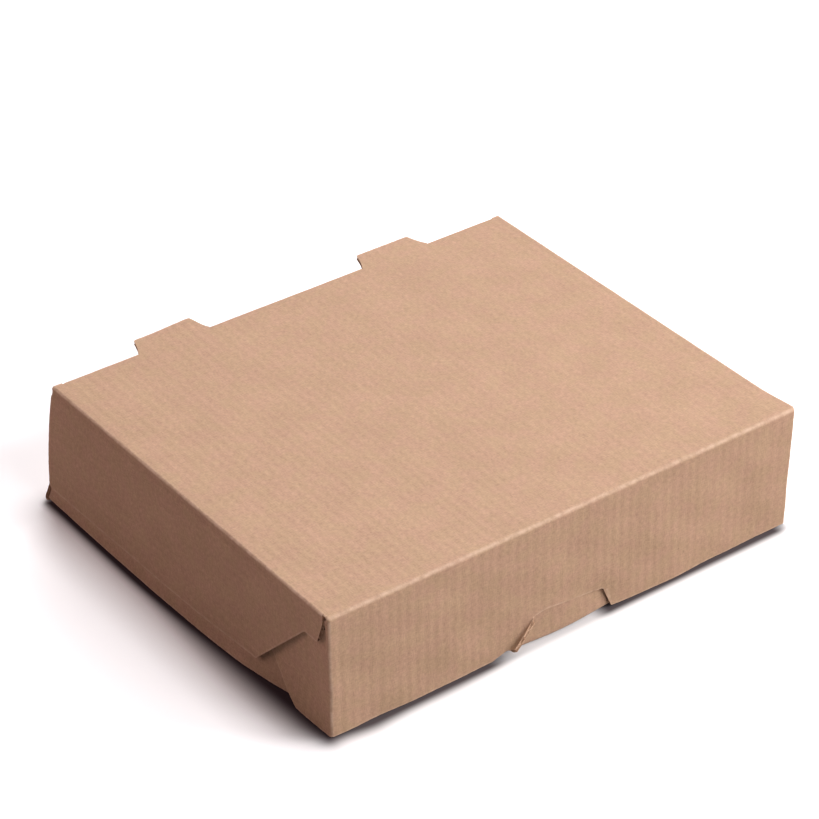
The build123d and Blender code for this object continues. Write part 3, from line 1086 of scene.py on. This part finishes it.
@dataclass
class Sag:
    """How the box's left wall and its front wall have spread outwards at the foot.

    Attributes:
        plan: Sizes of the box.
        flap_spread: Spread of the side flap's lower edge at the back.
        push: Further spread of the side flap behind the ear.
        back_push: Way backwards of the left back corner at the floor.
        front_bow: Way forwards of the front wall's foot.
        recess: Depth of the recess below the side flap's fold.
        ridge: Height of the two ridges below the recess.
        kick_height: Height from which the left wall's foot kicks out.
    """

    plan: BoxPlan
    flap_spread: float = 3.6 * MM
    push: float = 0.75 * MM
    back_push: float = 4.4 * MM
    front_bow: float = 2.4 * MM
    recess: float = 0.3 * MM
    ridge: float = 0.05 * MM
    kick_height: float = 8.0 * MM

    def along(self, y: Array, stops: list[float], values: list[float]) -> Array:
        """Value at a depth behind the front, by interpolation between millimetre stops."""
        return np.interp(y - self.plan.front, np.array(stops) * MM, values)

    def settled(self, y: Array) -> Array:
        """0 at the front corner, where the ear holds the wall, to 1 behind it."""
        return rise(y, self.plan.front + 15.0 * MM, 24.0 * MM)

    def flap(self, y: Array, z: Array) -> Array:
        """Way outwards of the side flap at a height.

        The share of the way down goes through one less an exponential, so that the flap is
        straight at the front and bulges at the back. A shallow recess runs below the fold,
        and two faint ridges below that.
        """
        plan = self.plan
        fall = np.clip(1.0 - z / (plan.height - plan.side_fold), 0.0, 1.0)
        bend = 0.3 + 2.3 * rise(y, plan.front + 60.0 * MM, 70.0 * MM)
        bulge = (1.0 - np.exp(-bend * fall)) / (1.0 - np.exp(-bend))
        amount = self.along(y, [15.0, 39.0, 66.0, 92.0, 121.0, 146.0], [0.0, 0.16, 0.7, 0.85, 0.9, 1.0])
        depth = plan.height - z
        recess = self.recess * bell(depth, 2.2 * MM, 1.1 * MM)
        ridges = self.ridge * (bell(depth, 4.0 * MM, 0.5 * MM) + bell(depth, 6.1 * MM, 0.5 * MM))
        lean = plan.top_spread(0.0 * z - plan.half_width, y) + self.flap_spread * amount * bulge
        return lean + (self.push * fall - recess + ridges) * self.settled(y)

    def wall(self, y: Array, z: Array) -> Array:
        """Way outwards of the tray's own left wall at a height.

        It grows almost in proportion to the way down, and the foot kicks out a little more, by
        the way down below the kick's height to the power of one and a half.
        """
        fall = np.clip(1.0 - z / self.plan.wall_top, 0.0, 1.0)
        low = np.clip(1.0 - z / self.kick_height, 0.0, 1.0)
        stops = [15.0, 31.0, 45.0, 68.0, 95.0, 117.0, 128.0, 138.0, 152.0]
        kick = self.along(y, stops, [0.0, 1.2, 1.6, 1.7, 1.3, 1.2, 0.9, 0.4, 0.2])
        stops = [15.0, 31.0, 44.5, 59.0, 75.0, 92.0, 109.0, 126.0, 136.0, 152.0]
        spread = self.along(y, stops, [0.0, 2.4, 4.3, 5.3, 6.0, 6.8, 7.1, 7.5, 8.0, 8.3])
        return (spread * fall**1.05 + kick * low**1.5) * MM

    def front(self, x: Array, z: Array) -> Array:
        """Way forwards of the tray's front wall at a height: a bell curve across the box."""
        fall = np.clip(1.0 - z / self.plan.wall_top, 0.0, 1.0)
        return self.front_bow * bell(x, -3.0 * MM, 22.0 * MM) * fall**1.4

    def warp(self, points: Array) -> Array:
        """Carry the tray's left part out, its left back corner back and its front wall forwards."""
        x, y, z = points[..., 0], points[..., 1], points[..., 2]
        plan = self.plan
        near = np.clip((-x - 40.0 * MM) / (plan.tray_half - 40.0 * MM), 0.0, 1.0) ** 2
        fall = np.clip(1.0 - z / plan.height, 0.0, 1.0)
        rear = rise(y, 40.0 * MM, plan.back - 40.0 * MM)
        fore = 1.0 - rise(y, plan.tray_front, 30.0 * MM)
        moved = points.copy()
        moved[..., 0] -= self.wall(y, z) * near
        moved[..., 1] += self.back_push * fall**3 * near**2 * rear - self.front(x, z) * fore
        return moved


@dataclass
class SideFlap:
    """Side flap: a deep panel, cut on the slope to a shallow strip at its front end."""

    plan: BoxPlan
    stock: KraftBoard
    side: int
    sag: Sag
    swell: float = 0.16 * MM
    end_setback: float = 2.7 * MM
    end_slant: float = 3.2 * MM
    strip_depth: float = 11.9 * MM
    strip_length: float = 12.4 * MM
    slope_run: float = 25.0 * MM

    def low_edge(self, y: Array) -> Array:
        """Lower limit at each y: the slanted end, the strip, the slope, the full depth."""
        plan, behind = self.plan, y - self.plan.front
        stops = [self.end_setback, self.end_setback + self.end_slant, self.strip_length - 0.4 * MM]
        stops += [self.strip_length + 0.5 * MM, self.strip_length + self.slope_run]
        stops += [plan.back - plan.front - 1.2 * MM, plan.back - plan.front]
        strip = plan.height - self.strip_depth
        heights = [plan.height - 3.4 * MM, strip, strip, strip - 0.6 * MM, plan.flap_low, plan.flap_low]
        return np.interp(behind, stops, heights + [plan.flap_low + 1.2 * MM])

    def sheet(self) -> Sheet:
        """Outer face on y and on a share of the way from the lower limit to the fold."""
        plan = self.plan
        slope = plan.front + self.strip_length
        bends = [plan.flap_front, plan.flap_front + self.end_slant, slope + 0.5 * MM, slope + self.slope_run]
        pitches = [0.25 * MM, 0.5 * MM, 0.32 * MM, 1.6 * MM, 0.5 * MM]
        y = steps(bends + [plan.back - 4.0 * MM, plan.back], pitches)
        share = np.linspace(0.0, 1.0, 90)[:, None]
        low = self.low_edge(y)
        top = plan.height - plan.side_fold
        z = low[None] + share * (top - low)[None]
        y = np.broadcast_to(y, z.shape)
        hanging = smooth((top - z) / (9.0 * MM))
        out = plan.half_width + self.swell * ripple(y, z, 0.07, 2.9) * hanging
        if self.side < 0:
            out = out + self.sag.flap(y, z)
        raw = np.zeros(z.shape)
        raw[0] = raw[:, -1] = 1.0
        raw[:, 0] = smooth((plan.height - 3.5 * MM - z[:, 0]) / (1.5 * MM))
        cut_gap = np.minimum(np.minimum((z - low[None]) * 0.8, y - plan.flap_front), plan.back - y)
        flat = np.stack([self.side * (plan.half_width + plan.height - z), y], -1)
        outer = np.stack([self.side * out, y, z], -1)
        outer[..., 0] += plan.corner_swell(outer)
        return Sheet(outer, flat, raw, np.maximum(cut_gap, 0.0), plan.height - z + 1.0 * MM)

    def build(self) -> Piece:
        """Make the flap, let it ride, and let it stand for the flap's solid."""
        word = "left" if self.side < 0 else "right"
        piece = self.stock.panel(f"{word}_side_flap_panel", self.sheet(), (0.0, 0.0, 0.02))
        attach(piece, f"{word}_side_flap")
        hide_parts(f"{word}_side_flap")
        return piece


@dataclass
class Tray:
    """Base and four walls folded up from the sheet, with the side walls' ears inside.

    The layer is how far one wall stands inside the next, and an ear's root is the part that
    lies along its own side wall.
    """

    plan: BoxPlan
    stock: KraftBoard
    sag: Sag
    lid: Lid
    layer: float = 1.8 * MM
    notch_gap: float = 0.35 * MM
    notch_low: float = 35.5 * MM
    ear_length: float = 24.0 * MM
    ear_taper: float = 5.0 * MM
    ear_root: float = 6.0 * MM

    def channel(self) -> Sheet:
        """Side walls and base: a U-shaped path across the box, carried along its depth."""
        plan = self.plan
        half, top = plan.tray_half, plan.wall_top
        path = Track([(-half, top), (-half, 0.0), (half, 0.0), (half, top)], plan.fold)
        total = path.length
        pitches = [self.stock.board.pitch / s for s in (7, 5, 7)]
        rows = steps([0.0, 50.0 * MM, total - 50.0 * MM, total], pitches)
        y, rows = np.meshgrid(steps([plan.tray_front + self.layer, plan.back - self.layer], [3.4 * MM]), rows)
        x, z = path.at(rows)
        u = rows - total / 2.0
        raw = np.zeros(u.shape)
        raw[0] = raw[-1] = 1.0
        points = self.sag.warp(np.stack([x, y, z], -1))
        flat = np.stack([u, 3.0 * plan.back - y], -1)
        return Sheet(points, flat, raw, np.minimum(rows, total - rows), np.abs(np.abs(u) - half))

    def cross_wall(self, back: bool) -> Sheet:
        """Front or back wall: an L-shaped path from the base up, carried across the box.

        The back wall's upper limit drops to a trapezoid notch under each hinge tab.

        Args:
            back: Whether it is the back wall.

        Returns:
            The wall's outer face.
        """
        plan = self.plan
        face = plan.back if back else plan.tray_front
        turn = -1.0 if back else 1.0
        path = Track([(face + turn * self.layer, 0.0), (face, 0.0), (face, 1.0)], plan.fold)
        upper = plan.height - plan.hinge_fold
        half, tiny, lid = plan.tray_half, 0.03 * MM, self.lid
        stops = [0.0, half]
        if back:
            root, tip = lid.tab_root + self.notch_gap, lid.tab_tip + self.notch_gap
            marks = [lid.tab_centre + s * w for s, w in ((-1, root), (-1, tip), (1, tip), (1, root))]
            stops = [0.0] + [m + d for m in marks for d in (-tiny, tiny)] + [half]
        x = mirrored(stops, self.stock.board.pitch / (10.0 if back else 6.0))
        top = np.full(x.shape, upper if back else plan.wall_top)
        if back:
            off = np.abs(np.abs(x) - lid.tab_centre)
            fall = np.clip((root - off) / (root - tip), 0.0, 1.0)
            top = np.where(off < root, upper - (upper - self.notch_low) * fall, top)
        base_run = float(np.interp(plan.fold, path.points[:, 1], path.run)) - plan.fold
        share = steps([0.0, 0.14, 0.92, 1.0], [0.012, 0.05, 0.01])
        rows = share[:, None] * (base_run + top)[None]
        y, z = path.at(rows)
        x = np.broadcast_to(x, rows.shape)
        raw = np.zeros(rows.shape)
        raw[-1] = raw[:, 0] = raw[:, -1] = 1.0
        if back:
            raw[-1] = np.where(top < upper - 0.01 * MM, 1.0, 0.0)
        ends = half - np.abs(x)
        cut_gap = np.minimum(ends, (base_run + top)[None] - rows)
        if back:
            cut_gap = np.where((top < upper - 0.01 * MM)[None], cut_gap, ends)
        v = plan.back + plan.height - z if back else 3.0 * plan.back + plan.height + z
        crease = np.abs(rows - base_run - 0.4 * plan.fold)
        points = np.stack([x, y, z], -1)
        return Sheet(self.sag.warp(points), np.stack([x, v], -1), raw, np.maximum(cut_gap, 0.0), crease)

    def ear(self, side: int, back: bool) -> Sheet:
        """Ear of a side wall, folded in behind the front wall or before the back wall."""
        plan = self.plan
        face = plan.back - self.layer if back else plan.tray_front + self.layer
        turn = -1.0 if back else 1.0
        half = plan.tray_half
        wall, tip = (side * half, face + turn * self.ear_root), (side * (half - self.ear_length), face)
        path = Track([wall, (side * half, face), tip], plan.fold)
        along = steps([0.0, path.length - 8.0 * MM, path.length], [0.8 * MM, 0.5 * MM])
        x, y = path.at(along)
        past = np.clip((half - self.ear_length + self.ear_taper - side * x) / self.ear_taper, 0.0, 1.0)
        low = 2.7 * MM + 3.0 * MM * past**2
        high = plan.wall_top - 0.2 * MM - 0.5 * plan.wall_top * past
        z = low[None] + np.linspace(0.0, 1.0, 60)[:, None] * (high - low)[None]
        x, y = np.broadcast_to(x, z.shape), np.broadcast_to(y, z.shape)
        raw = np.zeros(z.shape)
        raw[0] = raw[-1] = raw[:, -1] = 1.0
        cut_gap = np.minimum(np.minimum(z - low[None], high[None] - z), path.length - along[None])
        flat = np.stack([side * (half + z), 3.0 * plan.back - turn * along[None] + 0.0 * z], -1)
        points = self.sag.warp(np.stack([x, y, z], -1))
        fold_gap = np.abs(along - self.ear_root)[None] + 0.0 * z
        return Sheet(points, flat, raw, np.maximum(cut_gap, 0.0), fold_gap)

    def build(self) -> list[Piece]:
        """Make the tray's panels, let them ride, and let them stand for the tray's solid."""
        middle = (0.0, 0.0, 0.02)
        pieces = [
            self.stock.panel("tray_base_and_sides", self.channel(), middle),
            self.stock.panel("tray_front_wall", self.cross_wall(False), middle),
            self.stock.panel("tray_back_wall", self.cross_wall(True), middle),
        ]
        for side, word in ((-1, "left"), (1, "right")):
            for back in (False, True):
                name = f"tray_ear_{word}_{'back' if back else 'front'}"
                pieces.append(self.stock.panel(name, self.ear(side, back), middle))
        for piece in pieces:
            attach(piece, "tray")
            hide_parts("tray")
        return pieces


def make_folds(plan: BoxPlan, stock: KraftBoard, lid: Lid) -> list[Piece]:
    """Rounded folds all round the lid: front, both sides, and the hinge beside its tabs.

    Args:
        plan: Sizes of the box.
        stock: The board.
        lid: The lid, for its tabs.

    Returns:
        The pieces, one for each fold.
    """
    quarter, half, back, ahead = math.pi / 2.0, plan.half_width, plan.back, plan.flap_front
    inner = lid.tab_centre - lid.tab_root - 0.35 * MM
    outer = lid.tab_centre + lid.tab_root + 0.35 * MM
    turn, fold, bodies = 2.0 * quarter, plan.hinge_fold, ("tray", "lid")
    rows = [
        ("front_fold", -plan.corner, plan.corner, 0.0, -plan.front, plan.fold, ("lid", "front_flap")),
        ("left_fold", -back, -ahead, -quarter, half, plan.side_fold, ("lid", "left_side_flap")),
        ("right_fold", ahead, back, quarter, half, plan.side_fold, ("lid", "right_side_flap")),
        ("hinge_fold_middle", -inner, inner, turn, back, fold, bodies),
        ("hinge_fold_left", outer, plan.tray_half, turn, back, fold, bodies),
        ("hinge_fold_right", -plan.tray_half, -outer, turn, back, fold, bodies),
    ]
    return [TopFold(plan, stock, *row).build() for row in rows]


@dataclass(frozen=True)
class ContactShadow:
    """Dark band on the floor along the box's foot, with its places and widths in metres.

    The outline is a rectangle with a slanting left side. The band is wide and deep beside the
    left wall, most so near its front corner, narrow along the front, fainter before the thumb
    notch, and faint beside the right wall. A ramp is its two limits and its value at each.
    """

    left: Ramp = (-0.065, 0.030, -0.0896, -0.0947)
    right: float = 0.0903
    front: Ramp = (-0.088, -0.074, -0.0752, -0.0771)
    back: float = 0.0768
    under_wall: Ramp = (-0.004, -0.003, 0.0, 1.0)
    behind_corner: Ramp = (-0.080, -0.064, 0.0, 1.0)
    front_width: Ramp = (-0.09, -0.06, 0.0045, 0.0029)
    middle_narrower: Ramp = (-0.05, -0.02, 0.0, 0.0007)
    left_width: Ramp = (-0.055, 0.025, 0.0078, 0.0024)
    depth: float = 0.96
    notch_start: Ramp = (-0.032, -0.020, 0.0, 0.58)
    notch_end: Ramp = (0.008, 0.016, 0.0, 0.58)
    right_fade: Ramp = (0.084, 0.0905, 0.0, 0.6)

    def lightness(self, g: NodeGraph) -> Socket:
        """Lightness of the floor: 1 less a bell curve of the distance to the box's outline.

        Args:
            g: Graph of the floor's material.

        Returns:
            Lightness between 0 and 1.
        """
        x, y = g.parts(g.add("TexCoord").outputs["Object"])[:2]
        left = g.less(g.ramp(y, *self.left), x)
        beside = g.most(g.most(left, g.less(x, self.right)), 0.0)
        before = g.most(g.most(g.less(g.ramp(x, *self.front), y), g.less(y, self.back)), 0.0)
        on_left = g.times(g.ramp(left, *self.under_wall), g.ramp(y, *self.behind_corner))
        away = g.math("SQRT", g.plus(g.math("POWER", beside, 2.0), g.math("POWER", before, 2.0)))
        narrow = g.less(g.ramp(x, *self.front_width), g.ramp(x, *self.middle_narrower))
        wide = g.less(g.ramp(y, *self.left_width), narrow)
        width = g.plus(narrow, g.times(wide, on_left))
        fall = g.math("POWER", g.math("DIVIDE", away, width), 2.0)
        band = g.math("POWER", math.e, g.times(fall, -1.0))
        notch = g.less(g.ramp(x, *self.notch_start), g.ramp(x, *self.notch_end))
        shallow = g.less(self.depth, g.plus(notch, g.ramp(x, *self.right_fade)))
        deep = g.plus(shallow, g.times(on_left, g.less(1.0, shallow)))
        return g.less(1.0, g.times(deep, band))


@dataclass
class Studio:
    """Pale floor, soft lights from the right, the front and above, and the camera.

    The floor's colours are where the contact shadow is deepest, where it is bare, and what it
    throws back on the box.
    """

    camera_place: Triple = (-0.4703, -0.6384, 0.5734)
    camera_target: Triple = (0.0317, 0.0501, 0.0)
    roll: float = math.radians(-0.47)
    lens: float = 131.8
    floor_half: float = 6.0
    shadow: Triple = (0.04, 0.026, 0.03)
    paper: Triple = (0.985, 0.97, 0.985)
    thrown: Triple = (0.45, 0.40, 0.39)

    def camera(self) -> None:
        """Set up the camera from its place, its target and its slight roll."""
        data = bpy.data.cameras.new("camera")
        data.lens, data.sensor_width = self.lens, 36.0
        data.clip_start, data.clip_end = 0.05, 50.0
        camera = bpy.data.objects.new("camera", data)
        bpy.context.scene.collection.objects.link(camera)
        place = Vector(self.camera_place)
        forward = (Vector(self.camera_target) - place).normalized()
        level = forward.cross(Vector((0.0, 0.0, 1.0))).normalized()
        upright = level.cross(forward)
        cos, sin = math.cos(self.roll), math.sin(self.roll)
        right, up = level * cos + upright * sin, upright * cos - level * sin
        turn = Matrix((right, up, -forward)).transposed().to_4x4()
        camera.matrix_world = Matrix.Translation(place) @ turn
        bpy.context.scene.camera = camera

    def light(self, name: str, place: Triple, size: float, power: float, tint: Triple) -> None:
        """Place a square soft light that faces the box."""
        data = bpy.data.lights.new(name, "AREA")
        data.shape, data.size, data.energy, data.color = "SQUARE", size, power, tint
        lamp = bpy.data.objects.new(name, data)
        bpy.context.scene.collection.objects.link(lamp)
        turn = Vector(place).normalized().to_track_quat("Z", "Y").to_matrix().to_4x4()
        lamp.matrix_world = Matrix.Translation(Vector(place)) @ turn

    def floor(self) -> None:
        """Wide pale floor, which reads white and throws only a weak warm light back on the box."""
        mesh = bpy.data.meshes.new("floor")
        half = self.floor_half
        corners = [(-half, -half, 0), (half, -half, 0), (half, half, 0), (-half, half, 0)]
        mesh.from_pydata(corners, [], [(0, 1, 2, 3)])
        floor = bpy.data.objects.new("floor", mesh)
        floor.location.z = -0.0002
        bpy.context.scene.collection.objects.link(floor)
        material = bpy.data.materials.new("floor_paper")
        material.use_nodes = True
        shader = material.node_tree.nodes["Principled BSDF"]
        g = NodeGraph(material.node_tree)
        seen = g.add("LightPath").outputs["Is Camera Ray"]
        pale = g.blend("MIX", ContactShadow().lightness(g), (*self.shadow, 1.0), (*self.paper, 1.0))
        g.wire(g.blend("MIX", seen, (*self.thrown, 1.0), pale), shader, "Base Color")
        g.wire(pale, shader, "Emission Color")
        g.wire(g.times(seen, 0.06), shader, "Emission Strength")
        shader.inputs["Roughness"].default_value = 0.9
        shader.inputs["Specular IOR Level"].default_value = 0.1
        floor.data.materials.append(material)

    def build(self) -> None:
        """Make the camera, floor, lights and surroundings."""
        self.camera()
        self.floor()
        white = (1.0, 1.0, 1.0)
        self.light("key_right", (0.9, -0.68, 0.6), 0.6, 14.1, white)
        self.light("key_front", (0.3, -1.2, 1.0), 0.9, 15.6, white)
        self.light("overhead", (0.24, 0.0, 1.0), 0.32, 4.6, white)
        self.light("rear_right", (0.8, 1.1, 0.9), 0.9, 16.6, white)
        self.light("warm_fill_left", (-0.9, 0.45, 0.6), 0.7, 4.35, (1.0, 0.75, 0.74))
        world = bpy.data.worlds.new("surroundings")
        world.use_nodes = True
        world.node_tree.nodes["Background"].inputs[1].default_value = 0.0
        bpy.context.scene.world = world
        bpy.context.scene.view_settings.view_transform = "Standard"


def main() -> None:
    """Build the box's sub-assemblies in order."""
    logging.basicConfig(level=logging.INFO, format="%(name)s: %(message)s")
    Studio().build()
    plan = BoxPlan.from_frame()
    stock = KraftBoard.make()
    sag = Sag(plan)
    lid = Lid(plan, stock)
    pieces = lid.build() + [FrontFlap(plan, stock).build()]
    pieces += [SideFlap(plan, stock, side, sag).build() for side in (-1, 1)]
    pieces += Tray(plan, stock, sag, lid).build()
    pieces += make_folds(plan, stock, lid)
    for piece in pieces:
        log.info("%s: %d faces", piece.name, len(piece.data.polygons))


if __name__ == "__main__":
    main()
